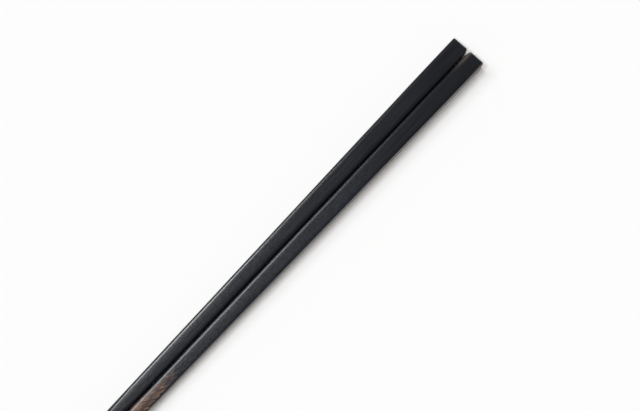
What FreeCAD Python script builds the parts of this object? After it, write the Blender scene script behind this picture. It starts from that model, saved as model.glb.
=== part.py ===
# A pair of bamboo chopsticks lying side by side, as they come to rest on a table.
#
# Each stick is one piece of bamboo. The handle end is square and keeps its width for a short
# stretch. From there the stick narrows evenly. It stays square for most of its length, with
# corners that grow a little rounder, then the corners run together into a plain round cone
# before the tip. The four sides are flat from the handle stretch to the cone, so the stick
# lies flat on one of its narrowing sides.
#
# Frame, in millimetres: +X runs from the tips to the handle ends, +Y points to the left
# stick and +Z up. The origin is on the table, under the middle of the pair.

import FreeCAD
import Part

import math
import os

# Sizes of one stick
length = 240.0               # from the handle's end face to the end of the tip
handle_width = 7.2           # across two flats of the handle
handle_length = 25.0         # the stretch that keeps the handle's width
handle_corner_radius = 0.85  # the four long edges of the handle
handle_end_round = 0.5       # the rim of the handle's end face
square_length = 180.0        # from the handle's end face to the end of the square stretch
square_corner_radius = 1.15  # the four long edges at the end of the square stretch
round_length = 25.0          # the stretch behind the tip that is fully round
tip_diameter = 4.8           # where the cone meets the rounding of the tip
tip_flat_diameter = 2.0      # the small flat in the middle of the rounded tip

# How the pair lies
gap_between = 0.3            # between the two inner sides
right_stick_lead = 0.1       # how far the right stick's handle end is ahead of the left one's

X_AXIS = FreeCAD.Vector(1, 0, 0)
Y_AXIS = FreeCAD.Vector(0, 1, 0)
Z_AXIS = FreeCAD.Vector(0, 0, 1)
ORIGIN = FreeCAD.Vector(0, 0, 0)
QUARTER_TURN = 90.0
FULL_TURN = 360.0
ON_END_FACE = 1e-6
NO_FLAT_LEFT = 1e-6

# The stick narrows evenly between these two distances from the handle's end face
tip_round = (tip_diameter - tip_flat_diameter) / 2
taper_start = handle_length
taper_end = length - tip_round
narrowing_per_mm = (handle_width - tip_diameter) / (taper_end - taper_start)
side_slope_degrees = math.degrees(math.atan(narrowing_per_mm / 2))
cone_start = length - round_length


def width_at(distance):
    """Width of the narrowing stretch at a distance from the handle's end face."""
    return handle_width - narrowing_per_mm * (distance - taper_start)


def corner_arc(distance, width, radius, turn):
    """Start, middle and end of one rounded corner of the section at a distance.

    The stick lies along X, with its end face at X = 0 and its tip towards -X."""
    centre = width / 2 - radius
    bow = radius * math.sqrt(0.5)
    points = [
        FreeCAD.Vector(-distance, width / 2, centre),
        FreeCAD.Vector(-distance, centre + bow, centre + bow),
        FreeCAD.Vector(-distance, centre, width / 2),
    ]
    about_x = FreeCAD.Rotation(X_AXIS, turn)
    return [about_x.multVec(point) for point in points]


def handle():
    """The square handle stretch, with its four long edges and its end rim rounded."""
    half = handle_width / 2
    block = Part.makeBox(
        handle_length, handle_width, handle_width, FreeCAD.Vector(-handle_length, -half, -half)
    )
    long_edges = [edge for edge in block.Edges if edge.BoundBox.XLength > handle_length / 2]
    bar = block.makeFillet(handle_corner_radius, long_edges)
    end_rim = [edge for edge in bar.Edges if edge.BoundBox.XMin > -ON_END_FACE]
    return bar.makeFillet(handle_end_round, end_rim)


def narrowing_stretch(near, near_radius, far, far_radius):
    """The stretch between two distances, with the corner radius that each end has.

    Each side is flat, and each corner is a ruled face between the arcs at both ends. Where
    the far radius makes a full circle, the sides run out to points on it."""
    near_width = width_at(near)
    far_width = width_at(far)
    ends_in_circle = far_width / 2 - far_radius < NO_FLAT_LEFT
    faces = []
    near_rim = []
    far_rim = []
    for quarter in range(4):
        turn = quarter * QUARTER_TURN
        near_arc = corner_arc(near, near_width, near_radius, turn)
        far_arc = corner_arc(far, far_width, far_radius, turn)
        near_next = corner_arc(near, near_width, near_radius, turn + QUARTER_TURN)[0]
        far_next = corner_arc(far, far_width, far_radius, turn + QUARTER_TURN)[0]
        near_edge = Part.Arc(*near_arc).toShape()
        far_edge = Part.Arc(*far_arc).toShape()
        near_rim += [near_edge, Part.makeLine(near_arc[-1], near_next)]
        far_rim.append(far_edge)
        side = [near_arc[-1], near_next]
        if not ends_in_circle:
            far_rim.append(Part.makeLine(far_arc[-1], far_next))
            side.append(far_next)
        side += [far_arc[-1], near_arc[-1]]
        faces.append(Part.makeRuledSurface(near_edge, far_edge))
        faces.append(Part.Face(Part.makePolygon(side)))
    faces.append(Part.Face(Part.Wire(near_rim)))
    faces.append(Part.Face(Part.Wire(far_rim)))
    shell = Part.makeShell(faces)
    shell.sewShape()
    return Part.makeSolid(shell)


def round_tip():
    """The cone behind the tip with its rounded end, turned about the stick's own axis."""
    tip_radius = tip_diameter / 2
    flat_radius = tip_flat_diameter / 2
    bow = tip_round * math.sqrt(0.5)
    cone_foot = FreeCAD.Vector(-cone_start, 0, 0)
    cone_rim = FreeCAD.Vector(-cone_start, 0, width_at(cone_start) / 2)
    tip_rim = FreeCAD.Vector(-taper_end, 0, tip_radius)
    round_middle = FreeCAD.Vector(-taper_end - bow, 0, flat_radius + bow)
    flat_rim = FreeCAD.Vector(-length, 0, flat_radius)
    flat_middle = FreeCAD.Vector(-length, 0, 0)
    outline = Part.Wire([
        Part.makeLine(cone_foot, cone_rim),
        Part.makeLine(cone_rim, tip_rim),
        Part.Arc(tip_rim, round_middle, flat_rim).toShape(),
        Part.makeLine(flat_rim, flat_middle),
        Part.makeLine(flat_middle, cone_foot),
    ])
    return Part.Face(outline).revolve(ORIGIN, X_AXIS, FULL_TURN)


def laid_down(stick, side, handle_x):
    """A stick lying on one narrowing side, with its inner side along the pair's middle line.

    side is +1 for the left stick and -1 for the right one, and handle_x is where the end
    face of its handle stands."""
    laid = stick.copy()
    laid.rotate(ORIGIN, Y_AXIS, -side_slope_degrees)
    laid.rotate(ORIGIN, Z_AXIS, side * side_slope_degrees)
    box = laid.BoundBox
    inner_y = box.YMin if side > 0 else box.YMax
    laid.translate(
        FreeCAD.Vector(handle_x - box.XMax, side * gap_between / 2 - inner_y, -box.ZMin)
    )
    return laid


def main():
    os.makedirs("parts", exist_ok=True)
    square = narrowing_stretch(
        taper_start, handle_corner_radius, square_length, square_corner_radius
    )
    square_to_round = narrowing_stretch(
        square_length, square_corner_radius, cone_start, width_at(cone_start) / 2
    )
    stick = handle().fuse([square, square_to_round, round_tip()]).removeSplitter().Solids[0]
    left = laid_down(stick, +1, 0.0)
    right = laid_down(stick, -1, right_stick_lead)
    pair_box = left.BoundBox
    pair_box.add(right.BoundBox)
    to_origin = FreeCAD.Vector(-pair_box.Center.x, -pair_box.Center.y, 0)
    for name, shape in (("left_chopstick", left), ("right_chopstick", right)):
        shape.translate(to_origin)
        shape.exportStep(f"parts/{name}.step")
        box = shape.BoundBox
        print(
            f"{name}: valid {shape.isValid()}, {len(shape.Solids)} solid, {len(shape.Faces)} faces,"
            f" {shape.Volume:.1f} mm3, X {box.XMin:.3f} to {box.XMax:.3f},"
            f" Y {box.YMin:.3f} to {box.YMax:.3f}, Z {box.ZMin:.4f} to {box.ZMax:.3f}"
        )


main()
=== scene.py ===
# %% [markdown]
# # A pair of black-finished bamboo chopsticks
#
# Two sticks lie side by side on a pale table, as they come to rest there. Each is one piece
# of bamboo: square at the handle, round at the tip, with a satin black coat that gives way to
# bare brown bamboo near the tip. This lesson dresses the measured model: it shapes a smooth
# skin for each stick, builds the finish in layers, and sets the light and the camera.

import math

import bmesh
import bpy
from mathutils import Matrix, Vector, noise


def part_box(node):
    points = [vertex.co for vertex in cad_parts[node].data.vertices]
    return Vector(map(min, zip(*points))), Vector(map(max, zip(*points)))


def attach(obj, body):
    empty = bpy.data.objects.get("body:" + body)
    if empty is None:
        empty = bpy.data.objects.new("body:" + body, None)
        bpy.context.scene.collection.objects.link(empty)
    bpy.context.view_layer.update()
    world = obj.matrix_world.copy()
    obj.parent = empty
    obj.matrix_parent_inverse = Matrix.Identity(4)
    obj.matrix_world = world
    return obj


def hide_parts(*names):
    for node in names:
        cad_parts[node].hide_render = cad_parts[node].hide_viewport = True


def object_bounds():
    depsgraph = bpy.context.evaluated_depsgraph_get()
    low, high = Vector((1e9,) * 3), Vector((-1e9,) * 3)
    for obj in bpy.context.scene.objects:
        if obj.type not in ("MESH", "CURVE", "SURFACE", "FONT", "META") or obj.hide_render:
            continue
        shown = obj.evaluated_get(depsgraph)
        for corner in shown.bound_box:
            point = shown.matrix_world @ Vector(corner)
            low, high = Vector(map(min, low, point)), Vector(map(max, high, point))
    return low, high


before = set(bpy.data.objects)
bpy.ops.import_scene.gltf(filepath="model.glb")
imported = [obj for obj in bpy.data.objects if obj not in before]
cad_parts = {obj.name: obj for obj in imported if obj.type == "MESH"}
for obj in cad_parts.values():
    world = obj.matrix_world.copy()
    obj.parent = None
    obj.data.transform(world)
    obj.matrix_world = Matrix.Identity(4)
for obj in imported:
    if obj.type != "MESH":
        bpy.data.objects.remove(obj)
measured_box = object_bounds()
sides = measured_box[1] - measured_box[0]
print("measured box", [round(side * 1000, 2) for side in sides], "mm")

# %% [markdown]
# ## The sizes of one stick
#
# The stick keeps its full width for a short handle stretch, then narrows evenly to the tip.
# Its section is a square with small rounded corners for most of the length. Then the corners
# run together, and the last stretch is a round cone. All of that follows from a handful of
# sizes, so they are named once here. A maker's drawing would carry the same list.

# %% Name the sizes
MM = 0.001
length = 240.0 * MM
handle_width = 7.2 * MM
handle_length = 25.0 * MM
handle_corner_radius = 0.85 * MM
handle_end_round = 0.5 * MM
square_length = 180.0 * MM
square_corner_radius = 0.95 * MM
round_length = 25.0 * MM
tip_diameter = 4.8 * MM
tip_flat_diameter = 2.0 * MM

tip_round = (tip_diameter - tip_flat_diameter) / 2
taper_end = length - tip_round
narrowing = (handle_width - tip_diameter) / (taper_end - handle_length)
side_slope = math.atan(narrowing / 2)
cone_start = length - round_length


def width_at(distance):
    """Width of the stick at a distance from its handle end."""
    return handle_width - narrowing * max(distance - handle_length, 0.0)


def part_way(value, start, end):
    """0 up to the start, 1 from the end on, and evenly in between."""
    return min(max((value - start) / (end - start), 0.0), 1.0)


def corner_radius_at(distance):
    """Rounding of the four long edges: slow on the square stretch, then up to the round cone."""
    slow = part_way(distance, handle_length, square_length)
    quick = part_way(distance, square_length, cone_start)
    radius = handle_corner_radius + slow * (square_corner_radius - handle_corner_radius)
    radius += quick * (width_at(cone_start) / 2 - square_corner_radius)
    return min(radius, width_at(distance) / 2)


print("half the narrowing angle", round(math.degrees(side_slope), 3), "degrees")

# %% [markdown]
# ## The section of the stick
#
# A square with rounded corners can be seen as a small square whose outline carries a disc
# round with it. That view has a use here: as the small square shrinks to a point, the same
# formula ends in a plain circle, so one ring of vertices can follow the stick all the way
# from the square handle to the round tip without a break in the mesh.
#
# The disc turns a little even along the flats, which keeps the vertices apart where the flats
# run out. On the lower half of the real sticks the light also fades slowly across each top,
# as it would on a side that was sanded by hand and bows out a little. So the formula can
# draw the outline a few hundredths of a millimetre towards a circle of the same width.

# %% The section formula
FLAT_SHARE = 3 / 16          # of each quarter's vertices, how many lie on each half flat
FLAT_TURN = math.radians(5)  # how far the outline leans over by the end of a half flat
BOW = 0.11                   # share of the way to a circle at the end of the square stretch


def section_point(angle, half_width, radius, bow):
    """Where the vertex at that angle of a circle goes on the rounded square."""
    quarter, along = divmod(angle / (math.pi / 2), 1.0)
    if along < FLAT_SHARE:
        part = along / FLAT_SHARE
        square = Vector((1.0, part))
        lean = part * FLAT_TURN
    elif along > 1 - FLAT_SHARE:
        part = (1 - along) / FLAT_SHARE
        square = Vector((part, 1.0))
        lean = math.pi / 2 - part * FLAT_TURN
    else:
        part = (along - FLAT_SHARE) / (1 - 2 * FLAT_SHARE)
        square = Vector((1.0, 1.0))
        lean = FLAT_TURN + part * (math.pi / 2 - 2 * FLAT_TURN)
    outline = (half_width - radius) * square + radius * Vector((math.cos(lean), math.sin(lean)))
    outline += bow * (half_width * outline.normalized() - outline)
    return Matrix.Rotation(quarter * math.pi / 2, 2) @ outline


handle_corner = section_point(math.pi / 4, handle_width / 2, handle_corner_radius, 0.0)
print("handle corner", round(handle_corner.length / MM, 2), "mm from the stick's axis")

# %% [markdown]
# ## The body of a stick
#
# The stick could be a box with its long edges bevelled, but one bevel can't grow along its
# length. It could be a lofted surface too, which is hard to give an even mesh. Here it starts
# as a cylinder cut into short rings, and each ring is moved to the section of its own
# distance. The rim of the handle end is bevelled. The tip is rounded by close rings that stand
# on its arc instead, because a bevel as wide as that would fold over where the vertices crowd.
#
# Two signs of handwork come on top. A slow noise lets the sides wander by up to three
# hundredths of a millimetre, which only shows where light runs along them. And at the handle
# ends the corners that face each other are worn back, so that a small pale notch of table
# shows between the sticks.

# %% Build one stick along its own axis
SECTION_POINTS = 64
RING_SPACING = 2.5 * MM
WANDER = 0.03 * MM
WANDER_LENGTH = 22.0 * MM
BOW_START = 90.0 * MM
END_RING = 0.1 * MM
RIM_SEGMENTS = 5
SLIVER = 1e-6                # metres, less than any real distance on the stick
EASED_LENGTH = 2.8 * MM
EASED_CUTS = (0.8 * MM, 1.2 * MM, 1.6 * MM, 2.0 * MM)
TIP_CUTS = [taper_end + tip_round * math.sin(math.radians(turn)) for turn in range(0, 90, 10)]


def eased_corner(distance, across, inner, depth):
    """How far the handle end's inner corner is worn back, which fades along and across."""
    along = max(1.0 - distance / EASED_LENGTH, 0.0)
    towards = max(inner * across / (handle_width / 2), 0.0)
    return depth * along ** 2 * towards


def tip_share(distance):
    """How much of its width the tip keeps where its end is rounded off."""
    past = min(max(distance - taper_end, 0.0), tip_round)
    return (tip_flat_diameter / 2 + math.sqrt(tip_round ** 2 - past ** 2)) / (tip_diameter / 2)


def stick_mesh(seed, inner, eased):
    """A stick from its handle end at X = 0 to its tip at X = -length."""
    bm = bmesh.new()
    bmesh.ops.create_cone(
        bm, cap_ends=True, cap_tris=False, segments=SECTION_POINTS,
        radius1=handle_width / 2, radius2=handle_width / 2, depth=length,
    )
    along_x = Matrix.Rotation(math.pi / 2, 3, "Y")
    bmesh.ops.rotate(bm, verts=bm.verts, cent=(0, 0, 0), matrix=along_x)
    bmesh.ops.translate(bm, verts=bm.verts, vec=(-length / 2, 0, 0))
    long_edges = [edge for edge in bm.edges if edge.calc_length() > length / 2]
    rings = round(length / RING_SPACING)
    bmesh.ops.subdivide_edges(bm, edges=long_edges, cuts=rings - 1)
    for distance in (*EASED_CUTS, handle_length, square_length, cone_start, *TIP_CUTS):
        everything = list(bm.verts) + list(bm.edges) + list(bm.faces)
        bmesh.ops.bisect_plane(
            bm, geom=everything, dist=SLIVER, plane_co=(-distance, 0, 0), plane_no=(1, 0, 0)
        )
    for vert in bm.verts:
        distance = -vert.co.x
        angle = math.atan2(vert.co.z, vert.co.y) % (2 * math.pi)
        half = width_at(min(distance, taper_end)) / 2
        bow = BOW * part_way(distance, BOW_START, square_length)
        across = section_point(angle, half, corner_radius_at(distance), bow) * tip_share(distance)
        sway = WANDER * Vector((
            noise.noise(Vector((distance / WANDER_LENGTH, seed, 0.0))),
            noise.noise(Vector((distance / WANDER_LENGTH, seed, 9.0))),
        ))
        vert.co.y, vert.co.z = across + sway
        vert.co.y -= inner * eased_corner(distance, vert.co.y, inner, eased)
    handle_rim = [edge for edge in bm.edges if all(vert.co.x > -SLIVER for vert in edge.verts)]
    bmesh.ops.bevel(
        bm, geom=handle_rim, offset=handle_end_round, offset_type="OFFSET",
        segments=RIM_SEGMENTS, profile=0.5, affect="EDGES", material=-1, clamp_overlap=False,
    )
    for end_face in [face for face in bm.faces if len(face.verts) > 4]:
        bmesh.ops.inset_individual(bm, faces=[end_face], thickness=END_RING)
        bmesh.ops.poke(bm, faces=[end_face])
    bmesh.ops.recalc_face_normals(bm, faces=bm.faces)
    return bm


test_stick = stick_mesh(0.0, 1, 0.0)
print("one stick:", len(test_stick.verts), "vertices,", len(test_stick.faces), "faces, closed",
      all(edge.is_manifold for edge in test_stick.edges))
test_stick.free()

# %% [markdown]
# ## Lay the sticks down
#
# A stick rests on one of its narrowing sides, so its own axis leans by half the narrowing
# angle, and its inner side is turned by the same angle so that both inner sides run parallel.
# The measured model says where each stick lies: its box gives the handle end, the inner side
# and the table.

# %% Place both sticks
sticks = {}
for name, side, seed, eased in (
    ("left_chopstick", 1, 3.7, 0.3 * MM),
    ("right_chopstick", -1, 8.2, 0.52 * MM),
):
    low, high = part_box(name)
    bm = stick_mesh(seed, -side, eased)
    bmesh.ops.rotate(
        bm, verts=bm.verts, cent=(0, 0, 0), matrix=Matrix.Rotation(-side_slope, 3, "Y")
    )
    bmesh.ops.rotate(
        bm, verts=bm.verts, cent=(0, 0, 0), matrix=Matrix.Rotation(side * side_slope, 3, "Z")
    )
    inner_now = min(side * vert.co.y for vert in bm.verts)
    inner_wanted = low.y if side > 0 else -high.y
    shift = Vector((
        high.x - max(vert.co.x for vert in bm.verts),
        side * (inner_wanted - inner_now),
        low.z - min(vert.co.z for vert in bm.verts),
    ))
    bmesh.ops.translate(bm, verts=bm.verts, vec=shift)
    for face in bm.faces:
        face.smooth = True
    mesh = bpy.data.meshes.new(f"{name}_finished")
    bm.to_mesh(mesh)
    bm.free()
    piece = bpy.data.objects.new(f"{name}_finished", mesh)
    bpy.context.scene.collection.objects.link(piece)
    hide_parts(name)
    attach(piece, "root")
    sticks[name] = piece
    print(name, "handle end at", round(high.x / MM, 2), "mm, moved by",
          [round(value / MM, 2) for value in shift], "mm")

# %% [markdown]
# ## A short hand for nodes
#
# A finish is a small network of nodes. One helper adds a node, sets what it is told and joins
# what it is given, so that each layer below reads as a sentence: what goes in, what comes out.

# %% Helpers for materials
GRAIN_ROUGHNESS = 0.55       # how strong the finer parts of each noise are


def add(tree, kind, inputs=None, **settings):
    """A new node. inputs maps a socket to a value or to another node's output."""
    node = tree.nodes.new(kind)
    for name, value in settings.items():
        setattr(node, name, value)
    for socket, value in (inputs or {}).items():
        if isinstance(value, bpy.types.NodeSocket):
            tree.links.new(value, node.inputs[socket])
        else:
            node.inputs[socket].default_value = value
    return node


def math_node(tree, operation, first, second=0.0, clamp=False):
    """One sum on one or two numbers."""
    inputs = {0: first, 1: second}
    return add(tree, "ShaderNodeMath", inputs, operation=operation, use_clamp=clamp).outputs[0]


def ramp(tree, value, low, high, to_low=0.0, to_high=1.0):
    """value spread smoothly from low..high to to_low..to_high."""
    inputs = {
        "Value": value, "From Min": low, "From Max": high, "To Min": to_low, "To Max": to_high
    }
    node = add(tree, "ShaderNodeMapRange", inputs, interpolation_type="SMOOTHSTEP", clamp=True)
    return node.outputs["Result"]


def mix_colour(tree, share, first, second):
    """first where share is 0, second where it is 1."""
    node = add(tree, "ShaderNodeMix", data_type="RGBA")
    for socket, value in ((0, share), (6, first), (7, second)):
        if isinstance(value, bpy.types.NodeSocket):
            tree.links.new(value, node.inputs[socket])
        elif socket == 0:
            node.inputs[0].default_value = value
        else:
            node.inputs[socket].default_value = (*value, 1.0)
    return node.outputs[2]


def grain(tree, place, scale, turn=0.0, detail=3.0, shift=(0.0, 0.0, 0.0)):
    """Noise drawn out along the stick. scale says how often it changes per millimetre."""
    turned = add(
        tree, "ShaderNodeVectorRotate", {"Vector": place, "Angle": turn}, rotation_type="Z_AXIS"
    )
    placed = add(
        tree, "ShaderNodeMapping", {"Vector": turned.outputs[0], "Scale": scale, "Location": shift}
    )
    inputs = {
        "Vector": placed.outputs[0], "Scale": 1.0, "Detail": detail, "Roughness": GRAIN_ROUGHNESS
    }
    return add(tree, "ShaderNodeTexNoise", inputs).outputs["Fac"]


# %% [markdown]
# ## Brown bamboo under a black coat
#
# Bamboo is a bundle of fibres. Heat has browned it here, and dark and tan streaks cross it at
# a slant. Over it lies a thin black coat with a satin shine, which is what one sees on most of
# the stick.
#
# One could paint a picture of that, but a picture has a fixed sharpness and shows seams where
# it wraps. Noise in the stick's own space has neither, and because it is solid the pattern
# runs on over the rounded tip. So the finish is made in layers: a bamboo colour, a coat colour
# with its haze and painted sheen, shares that say where the coat is rubbed or gone, and one
# gloss and relief for them all. The layers share five noises, so that what is worn in one is
# worn in the others.

# %% The grain that the layers share
FINE_GRAIN = (0.05, 3.2, 3.2)      # changes per millimetre along, across and up the stick
COARSE_GRAIN = (0.018, 1.1, 1.1)
MOTTLE_GRAIN = (0.7, 1.7, 1.7)
STREAK_GRAIN = (0.28, 2.3, 2.3)
PATCH_GRAIN = (0.30, 0.8, 0.8)
STREAK_TURN = math.radians(28)     # how far streaks and patches slant across the stick
MIDDLE = 0.5                       # what a noise comes to on average


def grains_of(tree, place, shift):
    """The five noises of one stick."""
    return {
        "fine": grain(tree, place, FINE_GRAIN, shift=shift),
        "coarse": grain(tree, place, COARSE_GRAIN, shift=shift, detail=2.0),
        "mottle": grain(tree, place, MOTTLE_GRAIN, shift=shift),
        "streak": grain(tree, place, STREAK_GRAIN, turn=STREAK_TURN, shift=shift, detail=4.0),
        "patch": grain(tree, place, PATCH_GRAIN, turn=STREAK_TURN, shift=shift),
    }


def swing(tree, texture, share):
    """How far a noise is from its middle value, times a share."""
    return math_node(tree, "MULTIPLY", math_node(tree, "SUBTRACT", texture, MIDDLE), share)


print("streaks slant by", round(math.degrees(STREAK_TURN)), "degrees")

# %% [markdown]
# ## The bare bamboo
#
# Three browns are enough. The streaks choose between them, from dark over brown to tan. A
# little of the fine grain goes in, which splits the streaks into fibres, and a little of the
# mottling, which keeps them from looking combed. More mottling would turn fibres into spots.

# %% The colour of the bamboo
BAMBOO_TAN = (0.235, 0.150, 0.110)
BAMBOO_BROWN = (0.120, 0.064, 0.043)
BAMBOO_DARK = (0.050, 0.024, 0.017)
DARK_TO_BROWN = (0.36, 0.53)       # the streak values between which each brown gives way
BROWN_TO_TAN = (0.45, 0.64)
FINE_IN_FIBRES = 0.35
MOTTLE_IN_FIBRES = 0.15


def bamboo_colour(tree, grains):
    """Dark, brown and tan fibres."""
    fibres = math_node(tree, "ADD", grains["streak"], swing(tree, grains["fine"], FINE_IN_FIBRES))
    fibres = math_node(tree, "ADD", fibres, swing(tree, grains["mottle"], MOTTLE_IN_FIBRES))
    brown = mix_colour(tree, ramp(tree, fibres, *DARK_TO_BROWN), BAMBOO_DARK, BAMBOO_BROWN)
    return mix_colour(tree, ramp(tree, fibres, *BROWN_TO_TAN), brown, BAMBOO_TAN)


print("bamboo from", BAMBOO_DARK, "to", BAMBOO_TAN)

# %% [markdown]
# ## The black coat, its haze and a painted sheen
#
# The coat isn't pure black. It follows the fine grain between two near-blacks with a touch of
# blue. A grey grows over it towards the tips and is stronger on the right stick. It is partly a
# faint haze that use has left on the coat and partly painted sheen, because the tops look lighter
# towards the tips where they mirror brighter light. A second coat material could carry the
# grey, but the change from one to the other would show as a border, so it is mixed in over a
# stretch, and mottled.

# %% The colour of the coat
COAT_BLACK = (0.0050, 0.0058, 0.0088)
COAT_WORN = (0.0090, 0.0100, 0.0135)
# a grey that is partly haze from use and partly painted sheen that lightens the tops towards the
# tips
COAT_HAZE_AND_SHEEN = (0.0220, 0.0245, 0.0330)
BLACK_TO_WORN = (0.35, 0.7)
HAZE_AND_SHEEN_GROWS = 30.0 * MM
# the mottle values, and what they make of the haze and painted sheen
HAZE_AND_SHEEN_MOTTLES = (0.25, 0.75, 0.2, 1.8)   # mottle values, and what they make of the haze


def coat_colour_and_sheen(tree, grains, distance, haze_and_sheen_from, haze_and_sheen):
    """Black with a haze and painted sheen that grow from a distance on."""
    black = mix_colour(tree, ramp(tree, grains["fine"], *BLACK_TO_WORN), COAT_BLACK, COAT_WORN)
    # the grey of haze and painted sheen grows from a distance on
    share = ramp(tree, distance, haze_and_sheen_from / MM, (haze_and_sheen_from + HAZE_AND_SHEEN_GROWS) / MM, 0.0, haze_and_sheen)
    share = math_node(tree, "MULTIPLY", share, ramp(tree, grains["mottle"], *HAZE_AND_SHEEN_MOTTLES))
    return mix_colour(tree, share, black, COAT_HAZE_AND_SHEEN)


print("haze grows over", round(HAZE_AND_SHEEN_GROWS / MM), "mm")

# %% [markdown]
# ## Where the coat has gone
#
# Near the tips the coat gives way in ragged patches, and it lasts longer along the long edges
# than on the flat tops. A straight border that is pushed to and fro by the patch noise gives
# the ragged line. To hold it back at the edges, the material has to know where they are. The
# inner edges of both sticks run straight along the pair's middle line. The outer ones come in
# as the stick narrows, so the narrowing is added back before they are looked for.

# %% The long edges and the bare tip
INNER_EDGE = (0.5, 1.7)            # millimetres from the pair's middle line
OUTER_EDGE = (6.6, 7.4)
BARE_GROWS = 27.0 * MM
EDGE_KEEPS = 16.0                  # millimetres by which the coat lasts longer at the edges
RAGGED = 45.0                      # millimetres that the border swings with the patch noise
MOTTLE_IN_PATCHES = 0.35


def edge_shares(tree, distance, off_middle_line):
    """1 on the inner and on the outer long edges, and 0 away from them."""
    inner = ramp(tree, off_middle_line, *INNER_EDGE, 1.0, 0.0)
    narrowed = math_node(tree, "MULTIPLY", distance, narrowing)
    outer = ramp(tree, math_node(tree, "ADD", off_middle_line, narrowed), *OUTER_EDGE)
    return inner, outer


def bare_share(tree, grains, distance, edges, bare_from):
    """1 where the coat has gone. It starts to go at a distance from the handle end."""
    ragged = swing(tree, grains["mottle"], MOTTLE_IN_PATCHES * RAGGED)
    ragged = math_node(tree, "ADD", swing(tree, grains["patch"], RAGGED), ragged)
    kept = math_node(tree, "MULTIPLY", math_node(tree, "MAXIMUM", *edges), EDGE_KEEPS)
    border = math_node(tree, "SUBTRACT", math_node(tree, "ADD", distance, ragged), kept)
    return ramp(tree, border, bare_from / MM, (bare_from + BARE_GROWS) / MM)


print("coat gives way over", round(BARE_GROWS / MM), "mm")

# %% [markdown]
# ## Where the coat is rubbed
#
# At the handle ends the coat is rubbed thin, mostly on the right stick's inner corner, so that
# a dull brown shows along both long edges and faintly on the rim. It fades out within twelve
# millimetres. The coarse grain breaks it up, because a clean band would look painted on.

# %% The rubbed handle end
EDGE_WORN = (0.085, 0.059, 0.045)
INNER_BAND = (0.5, 2.6, 1.0, 0.0)  # from and to in millimetres, then how rubbed it is at each
OUTER_BAND = (6.6, 7.3, 0.0, 0.9)
RIM_BAND = (0.1, 0.6, 0.3, 0.0)
RUBBED_LENGTH = 12.0
BROKEN_UP = (0.3, 0.65, 0.5, 1.0)


def rubbed_share(tree, grains, distance, off_middle_line, wear):
    """How thin the coat is rubbed near the handle end."""
    inner = ramp(tree, off_middle_line, *INNER_BAND)
    outer = ramp(tree, off_middle_line, *OUTER_BAND)
    rim = ramp(tree, distance, *RIM_BAND)
    rubbed = math_node(tree, "MAXIMUM", math_node(tree, "MAXIMUM", inner, outer), rim)
    near_end = ramp(tree, distance, 0.0, RUBBED_LENGTH, 1.0, 0.0)
    rubbed = math_node(tree, "MULTIPLY", rubbed, near_end)
    rubbed = math_node(tree, "MULTIPLY", rubbed, ramp(tree, grains["coarse"], *BROKEN_UP))
    return math_node(tree, "MULTIPLY", rubbed, wear)


print("coat rubbed within", RUBBED_LENGTH, "mm of the handle end")

# %% [markdown]
# ## The gloss and the relief
#
# The coat has an even satin shine at the handle. Further on the shine turns a little mottled,
# and the long edge that faces the light turns duller, which widens and softens the line of
# light along it. Rubbed places are duller too. The relief is only a few thousandths of a
# millimetre deep. Modelled, it would need millions of faces, so it is bump.

# %% The gloss and the relief
SATIN = (0.3, 0.7, 0.192, 0.222)          # fine grain values, and the roughness at each
MOTTLED_SATIN = 0.10
SATIN_MOTTLES = (20.0, 120.0, 0.2, 1.0)   # millimetres, and the share of the mottling at each
EDGES_DULL = (60.0, 120.0)
RUBBED_DULLS = 0.25
FINE_IN_RELIEF = 0.6
RELIEF_STRENGTH = 0.3
RELIEF_DEPTH = 0.008 * MM


def roughness(tree, grains, distance, edges, duller_edges, rubbed):
    """Satin, mottled further on, and duller on long edges and where it is rubbed."""
    satin = ramp(tree, grains["fine"], *SATIN)
    uneven = math_node(tree, "MULTIPLY", ramp(tree, distance, *SATIN_MOTTLES), MOTTLED_SATIN)
    swings = math_node(tree, "SUBTRACT", grains["mottle"], MIDDLE)
    satin = math_node(tree, "ADD", satin, math_node(tree, "MULTIPLY", uneven, swings))
    inner, outer = (
        math_node(tree, "MULTIPLY", edge, duller) for edge, duller in zip(edges, duller_edges)
    )
    duller = math_node(tree, "ADD", inner, outer)
    duller = math_node(tree, "MULTIPLY", duller, ramp(tree, distance, *EDGES_DULL))
    satin = math_node(tree, "ADD", satin, duller)
    return math_node(tree, "ADD", satin, math_node(tree, "MULTIPLY", rubbed, RUBBED_DULLS))


def relief(tree, grains):
    """A shallow grain on the surface."""
    fine = math_node(tree, "MULTIPLY", grains["fine"], FINE_IN_RELIEF)
    height = math_node(tree, "ADD", fine, grains["coarse"])
    inputs = {"Height": height, "Strength": RELIEF_STRENGTH, "Distance": RELIEF_DEPTH}
    return add(tree, "ShaderNodeBump", inputs).outputs[0]


print("relief", round(RELIEF_DEPTH / MM, 4), "mm deep")

# %% [markdown]
# ## The finish of each stick
#
# Both sticks have the same layers, and each has its own history. On the right one the haze and
# painted sheen start earlier and are stronger, the handle end is more rubbed and the coat ends
# sooner. A shift of the noises keeps the two from wearing in the same places.

# %% Put the layers together
PER_MM = (1 / MM,) * 3
COAT_IOR = 1.5


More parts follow.
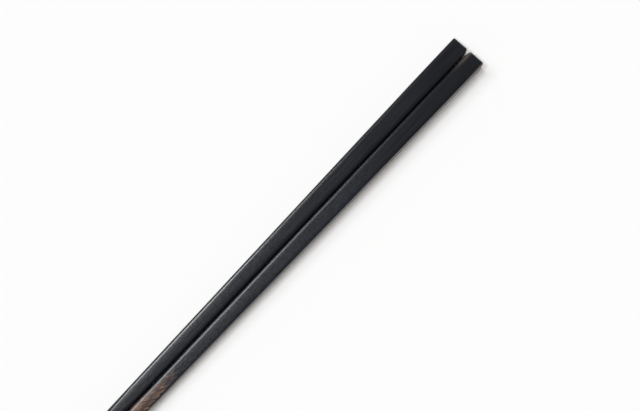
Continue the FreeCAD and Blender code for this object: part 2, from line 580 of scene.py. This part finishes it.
def stick_finish(name, handle_end, haze_and_sheen_from, bare_from, haze_and_sheen, wear, duller_edges, shift):
    """The material of one stick. The coat turns hazy with painted sheen and gives way at distances
    from the end.
    """
    material = bpy.data.materials.new(name)
    material.use_nodes = True
    tree = material.node_tree
    tree.nodes.clear()
    own_space = add(tree, "ShaderNodeTexCoord").outputs["Object"]
    place = add(tree, "ShaderNodeMapping", {"Vector": own_space, "Scale": PER_MM}).outputs[0]
    axes = add(tree, "ShaderNodeSeparateXYZ", {0: place})
    distance = math_node(tree, "SUBTRACT", handle_end / MM, axes.outputs["X"])
    off_middle_line = math_node(tree, "ABSOLUTE", axes.outputs["Y"])

    grains = grains_of(tree, place, shift)
    edges = edge_shares(tree, distance, off_middle_line)
    rubbed = rubbed_share(tree, grains, distance, off_middle_line, wear)
    # the coat's colour, with its haze and painted sheen
    coat = coat_colour_and_sheen(tree, grains, distance, haze_and_sheen_from, haze_and_sheen)
    coat = mix_colour(tree, rubbed, coat, EDGE_WORN)
    bare = bare_share(tree, grains, distance, edges, bare_from)
    colour = mix_colour(tree, bare, coat, bamboo_colour(tree, grains))
    satin = roughness(tree, grains, distance, edges, duller_edges, rubbed)

    inputs = {
        "Base Color": colour, "Roughness": satin, "IOR": COAT_IOR, "Normal": relief(tree, grains)
    }
    shader = add(tree, "ShaderNodeBsdfPrincipled", inputs)
    output = add(tree, "ShaderNodeOutputMaterial")
    tree.links.new(shader.outputs[0], output.inputs["Surface"])
    return material


# after the name: where haze and painted sheen start, where the coat goes, how strong haze and
# sheen are, how rubbed the handle end is, how dull the edges are, and the noise shift
for name, haze_and_sheen_from, bare_from, haze_and_sheen, wear, duller_edges, shift in (
    ("left_chopstick", 75.0 * MM, 195.0 * MM, 0.16, 0.1, (0.0, 0.12), (0.0, 3.3, 1.9)),
    ("right_chopstick", 45.0 * MM, 159.0 * MM, 0.40, 0.85, (0.15, 0.0), (4.0, 11.7, 6.1)),
):
    handle_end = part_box(name)[1].x
    finish = stick_finish(
        f"{name}_finish", handle_end, haze_and_sheen_from, bare_from, haze_and_sheen, wear, duller_edges, shift
    )
    sticks[name].data.materials.append(finish)
    print(finish.name, len(finish.node_tree.nodes), "nodes")

# %% [markdown]
# ## The table
#
# The sticks lie on a plain white table top. One large plane does for it, so that the camera
# sees nothing else from above. It is matt, and it is a touch darker than pure white, so that
# the soft shadow beside the sticks has room to show.

# %% The table
FLOOR_HALF = 4.0
TABLE_WHITE = (0.965, 0.965, 0.965, 1)
TABLE_ROUGHNESS = 0.9
bm = bmesh.new()
bmesh.ops.create_grid(bm, x_segments=1, y_segments=1, size=FLOOR_HALF)
floor_mesh = bpy.data.meshes.new("table_top")
bm.to_mesh(floor_mesh)
bm.free()
floor = bpy.data.objects.new("table_top", floor_mesh)
bpy.context.scene.collection.objects.link(floor)

white = bpy.data.materials.new("white_table")
white.use_nodes = True
table_shader = white.node_tree.nodes["Principled BSDF"]
table_shader.inputs["Base Color"].default_value = TABLE_WHITE
table_shader.inputs["Roughness"].default_value = TABLE_ROUGHNESS
table_shader.inputs["Specular IOR Level"].default_value = 0.0
floor_mesh.materials.append(white)
print("table", 2 * FLOOR_HALF, "m wide")

# %% [markdown]
# ## The light
#
# The picture was taken under wide soft light from above, stronger from the left. One big area
# lamp could stand for it, but its parts couldn't be weighed against each other. Five distant
# lamps can: the flat tops, the light lines along the edges and the shadow on the table each
# answer to another direction, so each lamp's strength follows from what it lights. They leave
# the direction straight down free, which keeps the slot between the sticks dark. The lamp
# from the right is slightly warm, as the shadow beside the sticks is.

# %% The light
COOL_WHITE = (0.985, 1.005, 1.025)
WARM_WHITE = (1.0, 0.95, 0.89)
LAMPS = (
    # name, tilt to the left, tilt towards the handle ends, angle across, strength, colour
    ("left_lamp", 22.0, 0.0, 14.0, 0.253, COOL_WHITE),
    ("high_left_lamp", 10.0, -20.0, 12.0, 0.238, COOL_WHITE),
    ("low_left_lamp", 39.0, -20.0, 26.0, 0.185, COOL_WHITE),
    ("right_lamp", -7.5, -20.0, 8.0, 0.275, WARM_WHITE),
    ("handle_side_lamp", 16.0, 39.0, 14.0, 0.083, COOL_WHITE),
)
ROOM_LIGHT = 0.115
OVERHEAD = Vector((0, 0, 1))

for name, tilt_left, tilt_back, across, strength, colour in LAMPS:
    lamp_data = bpy.data.lights.new(name, "SUN")
    lamp_data.color = colour
    lamp_data.energy = strength * math.pi
    lamp_data.angle = math.radians(across)
    lamp = bpy.data.objects.new(name, lamp_data)
    towards = Vector((math.tan(math.radians(tilt_back)), math.tan(math.radians(tilt_left)), 1.0))
    lamp.rotation_euler = towards.to_track_quat("Z", "Y").to_euler()
    bpy.context.scene.collection.objects.link(lamp)
    print(name, "is", round(math.degrees(towards.angle(OVERHEAD))), "degrees from overhead")

world = bpy.data.worlds.new("room")
bpy.context.scene.world = world
world.use_nodes = True
world.node_tree.nodes["Background"].inputs["Color"].default_value = (1.0, 1.0, 1.0, 1)
world.node_tree.nodes["Background"].inputs["Strength"].default_value = ROOM_LIGHT

# %% [markdown]
# ## The camera
#
# The sticks cross the picture from the upper right to the lower left, and their tips lie
# beyond its lower edge. The camera looks down almost straight, from the side of the right
# stick, so a sliver of that stick's long side is in view as a dark line. A lens of moderate
# length keeps both edges nearly parallel, and its distance sets how fast they close up.

# %% The camera
LENS = 75.0                                  # millimetres, on a 36 mm wide sensor
SENSOR = 36.0
AIM = Vector((37.79, 0.78, 3.5)) * MM        # the point at the middle of the picture
AWAY = 0.5007                                # metres from that point
AZIMUTH = math.radians(-136.92)              # from the tips' side of the right stick
ELEVATION = math.radians(79.5)               # nearly straight above
NEAREST = 0.01                               # metres from the lens at which it starts to see

camera_data = bpy.data.cameras.new("camera")
camera_data.lens = LENS
camera_data.sensor_width = SENSOR
camera_data.clip_start = NEAREST
camera = bpy.data.objects.new("camera", camera_data)
bpy.context.scene.collection.objects.link(camera)
bpy.context.scene.camera = camera
away = Vector((
    math.cos(ELEVATION) * math.cos(AZIMUTH),
    math.cos(ELEVATION) * math.sin(AZIMUTH),
    math.sin(ELEVATION),
))
camera.location = AIM + AWAY * away
camera.rotation_euler = away.to_track_quat("Z", "Y").to_euler()
bpy.context.scene.view_settings.view_transform = "Standard"
print("camera stands", round(camera.location.z, 3), "m above the table")
